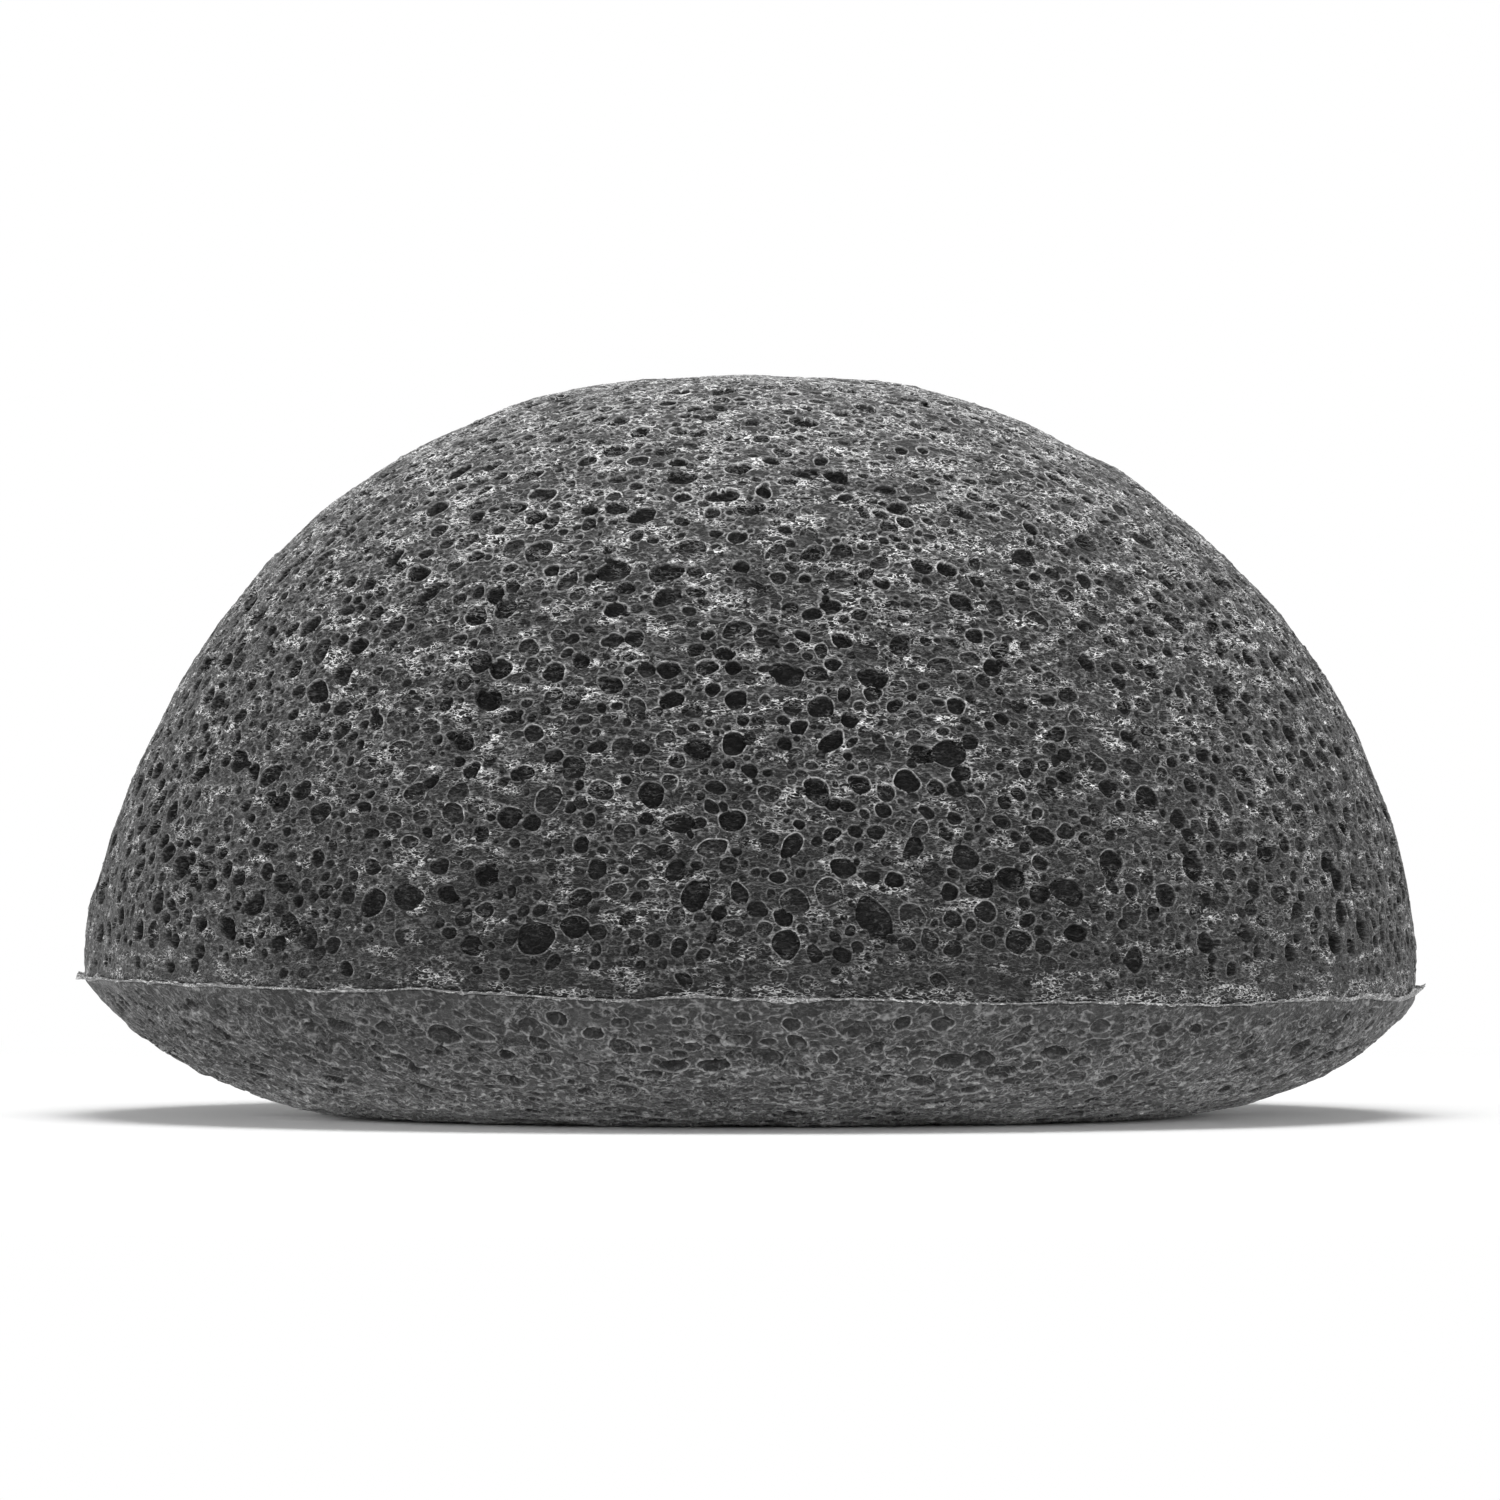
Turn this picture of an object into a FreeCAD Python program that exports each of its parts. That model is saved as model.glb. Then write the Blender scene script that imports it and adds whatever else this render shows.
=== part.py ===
import FreeCAD, Part
import math
import os

# Half-ball facial sponge of charcoal-grey konjac foam, in millimetres.
# The sponge stands on its flattened underside, +Z up, with the origin at the centre of that face.
# It is moulded in two halves of one mould: a deep bowl that shapes the dome and a shallow lid that
# shapes the underside. A thin film of foam, the flash, is squeezed out where the two halves meet.

# Dome, measured up from its seat on the flash
dome_diameter = 80.0
dome_height = 36.7
dome_skin_thickness = 3.0

# Underside pad, from the face that the sponge stands on up to the flash
base_depth = 7.6
rest_diameter = 48.0

# Flash: a film between the two halves, whose free edge tapers and curls upwards
flash_thickness = 0.3
flash_reach = 0.6
flash_tip_thickness = 0.15
flash_tip_lift = 0.4

# Room between the core and the skin around it
core_gap = 0.2

# Places that follow from the sizes above
dome_radius = dome_diameter / 2
rest_radius = rest_diameter / 2
skin_inner_radius = dome_radius - dome_skin_thickness
skin_inner_height = dome_height - dome_skin_thickness
dome_seat_z = base_depth + flash_thickness

PARTS_FOLDER = "parts"
FULL_TURN_DEG = 360


def point(radius, z):
    """A point of the half section that is turned about the Z axis."""
    return FreeCAD.Vector(radius, 0, z)


def straight_edges(*points):
    """Straight edges through the points, in order."""
    return [Part.LineSegment(a, b).toShape() for a, b in zip(points, points[1:])]


def quarter_ellipse(radius, height, seat_z):
    """The edge that rises from its widest place at seat_z to the axis, as one rational curve."""
    poles = [point(radius, seat_z), point(radius, seat_z + height), point(0, seat_z + height)]
    weights = [1, math.cos(math.pi / 4), 1]
    degree = len(poles) - 1
    curve = Part.BSplineCurve()
    curve.buildFromPolesMultsKnots(poles, [degree + 1] * 2, [0, 1], False, degree, weights)
    return curve.toShape()


def arc_from_flat(flat_radius, end_radius, rise):
    """The arc that leaves a flat face at z = 0 tangentially and reaches end_radius at the height rise."""
    run = end_radius - flat_radius
    arc_radius = (run ** 2 + rise ** 2) / (2 * rise)
    half_turn = math.atan2(run, arc_radius - rise) / 2
    middle = point(
        flat_radius + arc_radius * math.sin(half_turn),
        arc_radius * (1 - math.cos(half_turn)),
    )
    return Part.Arc(point(flat_radius, 0), middle, point(end_radius, rise)).toShape()


def turned_solid(edges):
    """The closed half section turned once round the Z axis."""
    outline = Part.Wire(Part.__sortEdges__(edges))
    section = Part.Face(outline)
    axis_start = FreeCAD.Vector(0, 0, 0)
    axis_direction = FreeCAD.Vector(0, 0, 1)
    return section.revolve(axis_start, axis_direction, FULL_TURN_DEG)


def dome_skin():
    """The open-pored outer layer of the dome, which the bowl of the mould shapes."""
    outer = quarter_ellipse(dome_radius, dome_height, dome_seat_z)
    inner = quarter_ellipse(skin_inner_radius, skin_inner_height, dome_seat_z)
    seat = straight_edges(point(skin_inner_radius, dome_seat_z), point(dome_radius, dome_seat_z))
    crown = straight_edges(
        point(0, dome_seat_z + dome_height),
        point(0, dome_seat_z + skin_inner_height),
    )
    return turned_solid([outer, inner, *seat, *crown])


def foam_core():
    """The coarser foam inside the dome. It stands on the underside pad, inside the ring of flash."""
    core_radius = skin_inner_radius - core_gap
    core_height = skin_inner_height - core_gap
    crown = quarter_ellipse(core_radius, core_height, dome_seat_z)
    sides = straight_edges(
        point(0, dome_seat_z + core_height),
        point(0, base_depth),
        point(core_radius, base_depth),
        point(core_radius, dome_seat_z),
    )
    return turned_solid([crown, *sides])


def base_pad():
    """The shallow convex underside, flat where it rests and rubs."""
    underside = arc_from_flat(rest_radius, dome_radius, base_depth)
    sides = straight_edges(
        point(dome_radius, base_depth),
        point(0, base_depth),
        point(0, 0),
        point(rest_radius, 0),
    )
    return turned_solid([underside, *sides])


def rim_flash():
    """The film held between the two halves, with its free edge standing out round the rim."""
    tip_radius = dome_radius + flash_reach
    tip_z = base_depth + flash_tip_lift
    outline = straight_edges(
        point(skin_inner_radius, base_depth),
        point(dome_radius, base_depth),
        point(tip_radius, tip_z),
        point(tip_radius, tip_z + flash_tip_thickness),
        point(dome_radius, dome_seat_z),
        point(skin_inner_radius, dome_seat_z),
        point(skin_inner_radius, base_depth),
    )
    return turned_solid(outline)


PIECES = {
    "dome_skin": dome_skin,
    "foam_core": foam_core,
    "base_pad": base_pad,
    "rim_flash": rim_flash,
}


def main():
    os.makedirs(PARTS_FOLDER, exist_ok=True)
    for name, make in PIECES.items():
        solid = make()
        if not solid.isValid() or len(solid.Solids) != 1:
            raise ValueError(f"{name} is not one valid solid")
        solid.exportStep(os.path.join(PARTS_FOLDER, f"{name}.step"))
        print(f"{name}: {solid.Volume / 1000:.2f} cm3, {len(solid.Faces)} faces")


main()
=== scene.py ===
import itertools
import math

import bmesh
import bpy
import numpy as np
from mathutils import Matrix, Vector, kdtree


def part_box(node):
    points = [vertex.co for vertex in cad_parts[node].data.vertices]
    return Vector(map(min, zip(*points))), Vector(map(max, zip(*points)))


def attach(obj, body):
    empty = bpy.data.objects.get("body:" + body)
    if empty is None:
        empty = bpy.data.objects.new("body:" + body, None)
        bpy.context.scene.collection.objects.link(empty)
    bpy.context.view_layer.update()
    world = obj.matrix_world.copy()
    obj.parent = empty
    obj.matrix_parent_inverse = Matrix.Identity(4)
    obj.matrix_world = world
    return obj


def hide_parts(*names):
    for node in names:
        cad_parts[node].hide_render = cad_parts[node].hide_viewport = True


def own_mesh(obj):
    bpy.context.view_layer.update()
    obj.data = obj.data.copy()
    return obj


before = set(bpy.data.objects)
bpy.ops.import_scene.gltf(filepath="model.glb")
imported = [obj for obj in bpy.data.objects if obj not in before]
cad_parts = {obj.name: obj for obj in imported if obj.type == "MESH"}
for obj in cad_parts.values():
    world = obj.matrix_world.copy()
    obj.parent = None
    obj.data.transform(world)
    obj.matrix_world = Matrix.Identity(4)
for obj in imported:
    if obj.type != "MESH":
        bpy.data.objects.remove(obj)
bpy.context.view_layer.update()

# Half-ball konjac sponge: a pored dome, a smoother underside and a thin moulding flash between them
MM = 0.001
QUARTER_TURN = math.pi / 2
FULL_TURN = 2 * math.pi
TINY = 1e-9

# Sizes of the solids that the pieces stand for, in metres
DOME_LOW, DOME_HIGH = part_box("dome_skin")
_, CORE_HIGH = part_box("foam_core")
FLASH_LOW, FLASH_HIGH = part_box("rim_flash")
RIM_RADIUS = DOME_HIGH.x
SEAT_Z = DOME_LOW.z
DOME_HEIGHT = DOME_HIGH.z - DOME_LOW.z
PAD_DEPTH = FLASH_LOW.z
RIM_Z = (SEAT_Z + PAD_DEPTH) / 2
REST_RADIUS = 24 * MM

# The underside leaves its flat disc along one arc that ends at the rim
ARC_RUN = RIM_RADIUS - REST_RADIUS
ARC_RADIUS = (ARC_RUN ** 2 + PAD_DEPTH ** 2) / (2 * PAD_DEPTH)
ARC_TURN = math.atan2(ARC_RUN, ARC_RADIUS - PAD_DEPTH)
UNDERSIDE_LENGTH = REST_RADIUS + ARC_RADIUS * ARC_TURN

# Inner wall of the dome, just outside the core
WALL_ROOM = 0.1 * MM
WALL_RADIUS = CORE_HIGH.x + WALL_ROOM
WALL_HEIGHT = CORE_HIGH.z - SEAT_Z + WALL_ROOM

# Fineness of the meshes
BALL_SUBDIVISIONS = 4
DOME_CUTS = 3
PAD_CUTS = 2
CORE_CUTS = 1
GRAIN_LEVELS = 3
CORE_LEVELS = 2
PLANE_SNAP = 1e-5


def unit(vectors):
    return vectors / np.maximum(np.linalg.norm(vectors, axis=1, keepdims=True), TINY)


def hill(values, centre, width):
    """A smooth hill of height 1 about the centre."""
    return np.exp(-(((values - centre) / width) ** 2))


def arch(shares):
    """1 half way, falling to 0 where the share is 0 or 1."""
    return 4 * shares * (1 - shares)


def half_ball_area(radius, rise):
    """About the area of half an ellipsoid that stands on its widest place."""
    return FULL_TURN * radius * (radius + rise) / 2


def linked(name, data):
    """A new object in the scene."""
    item = bpy.data.objects.new(name, data)
    bpy.context.scene.collection.objects.link(item)
    return item


class Lattice:
    """Smooth random values from -1 to 1 in space, with bumps about one cell wide."""

    MARGIN_CELLS = 2
    LOW = np.array([-45 * MM, -45 * MM, -5 * MM])
    HIGH = np.array([45 * MM, 45 * MM, 50 * MM])

    def __init__(self, cell, seed):
        self.cell = cell
        count = np.ceil((self.HIGH - self.LOW) / cell).astype(int) + self.MARGIN_CELLS
        self.values = np.random.default_rng(seed).uniform(-1, 1, count).astype(np.float32)

    def at(self, points):
        place = (points - self.LOW) / self.cell
        corner = np.floor(place).astype(int)
        share = place - corner
        share = share * share * (3 - 2 * share)
        total = np.zeros(len(points))
        for step in itertools.product((0, 1), repeat=3):
            weight = np.where(step, share, 1 - share).prod(axis=1)
            total += weight * self.values[tuple((corner + step).T)]
        return total


# Hand-moulded unevenness, the same for every piece, so that their edges stay together
SWELL_CELL, SWELL_HEIGHT = 9 * MM, 0.2 * MM
DIMPLE_CELL, DIMPLE_HEIGHT = 3.2 * MM, 0.14 * MM
RIM_TILT, TILT_REACH = 0.62 * MM, 11 * MM
LIFT_REACH = 2.2 * MM
FOOT_SHIFT = 0.4 * MM
SWELL_SEEDS, DIMPLE_SEEDS = (11, 12, 13), (21, 22, 23)
SWELLS = [Lattice(SWELL_CELL, seed) for seed in SWELL_SEEDS]
DIMPLES = [Lattice(DIMPLE_CELL, seed) for seed in DIMPLE_SEEDS]


def moulded(points):
    """The points moved by the unevenness of a soft moulding. The resting face stays flat."""
    offset = np.stack([lattice.at(points) for lattice in SWELLS], 1) * SWELL_HEIGHT
    offset += np.stack([lattice.at(points) for lattice in DIMPLES], 1) * DIMPLE_HEIGHT
    offset[:, 2] -= RIM_TILT * points[:, 0] / RIM_RADIUS * hill(points[:, 2], RIM_Z, TILT_REACH)
    offset[:, 2] *= np.clip(points[:, 2] / LIFT_REACH, 0, 1)
    offset[:, 0] += FOOT_SHIFT * np.sqrt(np.clip(1 - points[:, 2] / PAD_DEPTH, 0, 1))
    return points + offset


# Outer forms, as places and outward normals for unit directions.
# The dome is a little flat at the crown, fuller at the left shoulder and drawn in low on the left.
CROWN_DRAW, CROWN_AT_SHARE, CROWN_WIDTH_SHARE = 0.25 * MM, 1.0, 0.02
BROW_FULLNESS, BROW_AT_SHARE, BROW_WIDTH_SHARE = 0.22 * MM, 0.95, 0.05
SHOULDER_FULLNESS, SHOULDER_AT_SHARE, SHOULDER_WIDTH_SHARE = 0.45 * MM, 0.85, 0.16
FLANK_DRAW, FLANK_AT_SHARE, FLANK_WIDTH_SHARE = 0.85 * MM, 0.38, 0.2
FOOT_DRAW, FOOT_AT_SHARE, FOOT_WIDTH_SHARE = 0.55 * MM, 0.15, 0.3


def dome_form(directions):
    """The dome: half an ellipsoid with a flatter crown, and uneven on its left side."""
    rise_share = directions[:, 2]
    left_share = (1 - directions[:, 0]) / 2
    points = directions * (RIM_RADIUS, RIM_RADIUS, DOME_HEIGHT)
    normals = unit(directions / (RIM_RADIUS, RIM_RADIUS, DOME_HEIGHT))
    fuller = -CROWN_DRAW * hill(rise_share, CROWN_AT_SHARE, CROWN_WIDTH_SHARE)
    fuller += BROW_FULLNESS * hill(rise_share, BROW_AT_SHARE, BROW_WIDTH_SHARE)
    fuller += left_share * SHOULDER_FULLNESS * hill(rise_share, SHOULDER_AT_SHARE, SHOULDER_WIDTH_SHARE)
    fuller -= left_share * FLANK_DRAW * hill(rise_share, FLANK_AT_SHARE, FLANK_WIDTH_SHARE)
    points = points + normals * fuller[:, None]
    points[:, 2] += SEAT_Z
    return points, normals


def pad_form(directions):
    """The underside: a flat disc, then one arc up to the rim, drawn in a little above the foot."""
    heading = unit(directions[:, :2])
    length = np.arccos(np.clip(-directions[:, 2], -1, 1)) / QUARTER_TURN * UNDERSIDE_LENGTH
    turn = np.clip(length - REST_RADIUS, 0, None) / ARC_RADIUS
    radius = np.minimum(length, REST_RADIUS) + ARC_RADIUS * np.sin(turn)
    height = ARC_RADIUS * (1 - np.cos(turn))
    radius -= (turn > 0) * FOOT_DRAW * hill(height / PAD_DEPTH, FOOT_AT_SHARE, FOOT_WIDTH_SHARE)
    points = np.column_stack([heading * radius[:, None], height])
    normals = np.column_stack([heading * np.sin(turn)[:, None], -np.cos(turn)])
    return points, normals


CORE_RADIUS = CORE_HIGH.x
CORE_RISE = CORE_HIGH.z - SEAT_Z


def core_form(directions):
    """The core: half an ellipsoid inside the dome's wall."""
    points = directions * (CORE_RADIUS, CORE_RADIUS, CORE_RISE)
    normals = unit(directions / (CORE_RADIUS, CORE_RADIUS, CORE_RISE))
    points[:, 2] += SEAT_Z
    return points, normals


# Large dark pores in front, listed as shares of the dome's radius across, of its height,
# and of the widest pore
FRONT_PORE_RADIUS = 1.1 * MM
FRONT_PORE_SHARES = [
    (-0.76, 0.09, 0.7), (-0.71, 0.35, 0.75), (-0.65, 0.42, 0.6), (-0.605, 0.425, 0.6),
    (-0.6, 0.51, 0.65), (-0.545, 0.135, 0.75), (-0.495, 0.145, 0.8), (-0.44, 0.15, 0.55),
    (-0.42, 0.405, 0.6), (-0.385, 0.185, 0.7), (-0.385, 0.47, 0.75), (-0.365, 0.515, 0.65),
    (-0.355, 0.28, 0.65), (-0.32, 0.415, 0.55), (-0.31, 0.085, 0.95), (-0.26, 0.65, 0.6),
    (-0.262, 0.462, 0.55), (-0.26, 0.355, 0.68), (-0.255, 0.105, 0.7), (-0.22, 0.32, 0.6),
    (-0.195, 0.665, 0.85), (-0.155, 0.75, 0.7), (-0.145, 0.315, 0.7), (-0.122, 0.664, 0.8),
    (-0.12, 0.515, 0.6), (-0.115, 0.465, 0.6), (-0.105, 0.195, 0.6), (-0.075, 0.385, 0.7),
    (-0.075, 0.155, 0.8), (-0.065, 0.52, 0.55), (-0.025, 0.275, 0.65), (-0.02, 0.465, 0.6),
    (0.02, 0.565, 0.62), (0.05, 0.505, 0.8), (0.062, 0.235, 0.6), (0.12, 0.4, 0.65),
    (0.13, 0.56, 0.55), (0.13, 0.695, 0.65), (0.145, 0.435, 0.5), (0.178, 0.125, 1.0),
    (0.18, 0.5, 0.75), (0.218, 0.552, 0.65), (0.23, 0.335, 0.65), (0.235, 0.23, 0.6),
    (0.245, 0.67, 0.58), (0.29, 0.38, 0.85), (0.31, 0.22, 0.7), (0.33, 0.175, 0.68),
    (0.355, 0.61, 0.55), (0.415, 0.165, 0.55), (0.42, 0.255, 0.65), (0.43, 0.32, 0.6),
    (0.455, 0.17, 0.85), (0.465, 0.107, 0.58), (0.46, 0.475, 0.55), (0.49, 0.525, 0.55),
    (0.52, 0.212, 0.75), (0.545, 0.455, 0.5), (0.58, 0.31, 0.75), (0.59, 0.51, 0.55),
    (0.625, 0.277, 0.55), (0.7, 0.235, 0.6), (0.755, 0.232, 0.72),
]

# The other pores: size classes from large to small, as (radius from, radius to, pores per square metre)
PER_SQUARE_MM = 1e6
DOME_PORES = [
    (0.6 * MM, 0.85 * MM, 0.06 * PER_SQUARE_MM),
    (0.42 * MM, 0.58 * MM, 0.18 * PER_SQUARE_MM),
    (0.29 * MM, 0.4 * MM, 0.26 * PER_SQUARE_MM),
    (0.19 * MM, 0.27 * MM, 0.44 * PER_SQUARE_MM),
]
PAD_PORES = [
    (0.7 * MM, 0.95 * MM, 0.045 * PER_SQUARE_MM),
    (0.48 * MM, 0.66 * MM, 0.12 * PER_SQUARE_MM),
    (0.3 * MM, 0.44 * MM, 0.16 * PER_SQUARE_MM),
    (0.2 * MM, 0.28 * MM, 0.14 * PER_SQUARE_MM),
]
CORE_PORES = [(0.9 * MM, 1.5 * MM, 0.03 * PER_SQUARE_MM)]
PORE_GAP = 0.08 * MM
MERGE_SHARE = 0.22
MERGED_SPACING_SHARES = (0.68, 0.92)
RIM_CLEARANCE = 0.3 * MM
DOME_BARE_BAND, PAD_BARE_BAND = 2.4 * MM, 0.4 * MM
BARE_BAND_PORE, BARE_BAND_SHARE = 0.55 * MM, 0.72
CROWD_CELL, CROWD_SHARE = 5 * MM, 0.9
TRIES_PER_PORE = 14
DOME_PORE_SEED, PAD_PORE_SEED, CORE_PORE_SEED = 31, 32, 33
DOME_CARVE_SEED, PAD_CARVE_SEED, CORE_CARVE_SEED = 41, 42, 43


def front_pores():
    """The large pores in front as (centre, normal, radius, whether it must be deep)."""
    across, rise, size = np.array(FRONT_PORE_SHARES).T
    directions = np.column_stack([across, -np.sqrt(1 - across ** 2 - rise ** 2), rise])
    radii = (size * FRONT_PORE_RADIUS).tolist()
    return list(zip(*dome_form(directions), radii, itertools.repeat(True)))


def scatter_pores(form, upwards, classes, area, bare_band, seed, given=()):
    """Adds pores to the given ones, large ones first, crowded in places and few near the rim."""
    rng = np.random.default_rng(seed)
    crowding = Lattice(CROWD_CELL, seed)
    widest = max([classes[0][1]] + [radius for _, _, radius, _ in given])
    cell = 2 * widest + PORE_GAP
    rim_z = SEAT_Z if upwards else PAD_DEPTH
    pores = list(given)
    taken = {}
    for centre, _, radius, _ in pores:
        taken.setdefault(tuple(centre // cell), []).append((*centre.tolist(), radius))
    for least, most, density in classes:
        wanted = round(density * area)
        directions = unit(rng.normal(size=(wanted * TRIES_PER_PORE, 3)))
        directions[:, 2] = np.abs(directions[:, 2]) * (1 if upwards else -1)
        centres, normals = form(directions)
        radii = rng.uniform(least, most, len(centres))
        merging = rng.random(len(centres)) < MERGE_SHARE
        spacing = np.where(merging, rng.uniform(*MERGED_SPACING_SHARES, len(centres)), 1)
        from_rim = np.abs(centres[:, 2] - rim_z)
        kept = from_rim > radii + RIM_CLEARANCE
        bare = (radii > BARE_BAND_PORE) | (rng.random(len(centres)) < BARE_BAND_SHARE)
        kept &= (from_rim > bare_band) | ~bare
        kept &= rng.random(len(centres)) > -CROWD_SHARE * crowding.at(centres)
        found = 0
        for number in np.nonzero(kept)[0].tolist():
            if found == wanted:
                break
            x, y, z = centres[number].tolist()
            radius = float(radii[number])
            room = float(spacing[number])
            key = (x // cell, y // cell, z // cell)
            near = itertools.chain.from_iterable(
                taken.get((key[0] + i, key[1] + j, key[2] + k), ())
                for i, j, k in itertools.product((-1, 0, 1), repeat=3)
            )
            if any(
                (x - a) ** 2 + (y - b) ** 2 + (z - c) ** 2 < (room * (radius + r) + PORE_GAP) ** 2
                for a, b, c, r in near
            ):
                continue
            taken.setdefault(key, []).append((x, y, z, radius))
            pores.append((centres[number], normals[number], radius, False))
            found += 1
    return pores


# How a pore is shaped: a rounded, uneven bowl that widens below its edge
STRETCH = (1.0, 1.22)
SLANT = math.radians(35)
WOBBLE_TURNS = (2, 3, 4, 5)
WOBBLE_SHARES = (0.06, 0.05, 0.03, 0.02)
DOME_DEPTH_SHARES = (0.6, 1.25)
PAD_DEPTH_SHARES = (0.3, 0.6)
SHALLOW_SHARE = 0.36
SHALLOW_DEPTH_SHARES = (0.2, 0.45)
# Painted shade in the pores: how far the colour of a deep or a shallow pore goes to the pore-shade grey
DEEP_PORE_SHADE = (0.5, 1.0)
SHALLOW_PORE_SHADE = (0.12, 0.5)
# The painted pore shade and the painted lip highlights fade towards the sides and, on the dome, towards the
# rim
SIDE_REACH, LOW_REACH = 22 * MM, 12 * MM
SIDE_FADE, LIP_SIDE_FADE = 0.45, 0.5
DOME_LOW_FADES, PAD_LOW_FADES = (0.3, 0.65), (0.0, 0.0)
FULL_LIP_RADIUS, LEAST_LIP_SHARE = 0.6 * MM, 0.3
DOME_UNDERCUT, PAD_UNDERCUT = 0.42, 0.1
BOWL_POWER = 2.6
# Share of the painted pore shade away from the windows
WALL_SHADE_SHARE = 0.8
EDGE_SNAP_SHARE = 0.55
# Lips: raised rims that also carry a painted highlight, more of both on a pore's upper edge where the top
# light falls
LIP_HEIGHT, LIP_WIDTH = 0.085 * MM, 0.1 * MM
DOME_LIP_SHARES, PAD_LIP_SHARES = (0.15, 1.2), (0.5, 1.1)
DOME_LIP_UNDER_SHARE, PAD_LIP_UNDER_SHARE = 0.35, 0.9
CREST_WIDTH, CREST_SHARE = 0.09 * MM, 0.75
REACH_SHARE = 1.3
FAR_SHARE = 9.0
EDGE_REACH = 0.4 * MM

DOME_PORE_SHAPE = (DOME_DEPTH_SHARES, DOME_UNDERCUT, DOME_LIP_SHARES, DOME_LIP_UNDER_SHARE, DOME_LOW_FADES)
PAD_PORE_SHAPE = (PAD_DEPTH_SHARES, PAD_UNDERCUT, PAD_LIP_SHARES, PAD_LIP_UNDER_SHARE, PAD_LOW_FADES)

# Windows between a pore and the cells behind it
WINDOWED_RADIUS = 0.42 * MM
WINDOW_COUNTS = (1, 4)
WINDOW_SHARES = (0.2, 0.45)
WINDOW_PLACE_SHARE = 0.55
WINDOW_DEPTH_SHARE = 0.5


class Hollows:
    """Round hollows with uneven edges, as arrays with one entry for each."""

    def __init__(self, rounds, rng):
        count = len(rounds)
        self.centre = np.array([entry[0] for entry in rounds])
        self.normal = np.array([entry[1] for entry in rounds])
        self.radius = np.array([entry[2] for entry in rounds])
        slant = rng.normal(0, SLANT, (count, 1))
        level = unit(np.cross((0, 0, 1), self.normal))
        self.long_axis = level * np.cos(slant) + np.cross(self.normal, level) * np.sin(slant)
        self.short_axis = np.cross(self.normal, self.long_axis)
        self.stretch = rng.uniform(*STRETCH, count)
        self.phases = rng.uniform(0, FULL_TURN, (count, len(WOBBLE_TURNS)))

    def out_shares(self, number, points):
        """How far out each point lies in one hollow, where 1 is its edge."""
        offset = points - self.centre[number]
        u = offset @ self.long_axis[number] / (self.radius[number] * self.stretch[number])
        v = offset @ self.short_axis[number] / (self.radius[number] / self.stretch[number])
        angle = np.arctan2(v, u)
        edge = 1 + sum(
            size * np.cos(turns * angle + phase)
            for turns, size, phase in zip(WOBBLE_TURNS, WOBBLE_SHARES, self.phases[number])
        )
        return np.hypot(u, v) / edge

    def nearest(self, points, tree):
        """For each point the hollow that it lies deepest in, its share there and in the next hollow."""
        owner = np.zeros(len(points), int)
        share = np.full(len(points), FAR_SHARE)
        second = np.full(len(points), FAR_SHARE)
        for number in range(len(self.radius)):
            reach = self.radius[number] * self.stretch[number] * REACH_SHARE + 2 * LIP_WIDTH
            index = np.array([found[1] for found in tree.find_range(self.centre[number], reach)], int)
            if len(index) == 0:
                continue
            out = self.out_shares(number, points[index])
            nearer = out < share[index]
            second[index] = np.where(nearer, share[index], np.minimum(second[index], out))
            share[index] = np.minimum(share[index], out)
            owner[index[nearer]] = number
        return owner, share, second


def point_tree(points):
    tree = kdtree.KDTree(len(points))
    for index, place in enumerate(points.tolist()):
        tree.insert(place, index)
    tree.balance()
    return tree


def make_windows(pores, rng):
    """A few smaller round windows in the floor of each larger pore, and the pore that each lies in."""
    windows, parents = [], []
    for number in np.nonzero(pores.radius > WINDOWED_RADIUS)[0]:
        for _ in range(rng.integers(*WINDOW_COUNTS)):
            turn = rng.uniform(0, FULL_TURN)
            place = pores.radius[number] * WINDOW_PLACE_SHARE * math.sqrt(rng.random())
            along = pores.long_axis[number] * math.cos(turn) + pores.short_axis[number] * math.sin(turn)
            radius = pores.radius[number] * rng.uniform(*WINDOW_SHARES)
            windows.append((pores.centre[number] + along * place, pores.normal[number], radius))
            parents.append(number)
    return Hollows(windows, rng), np.array(parents)


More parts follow.
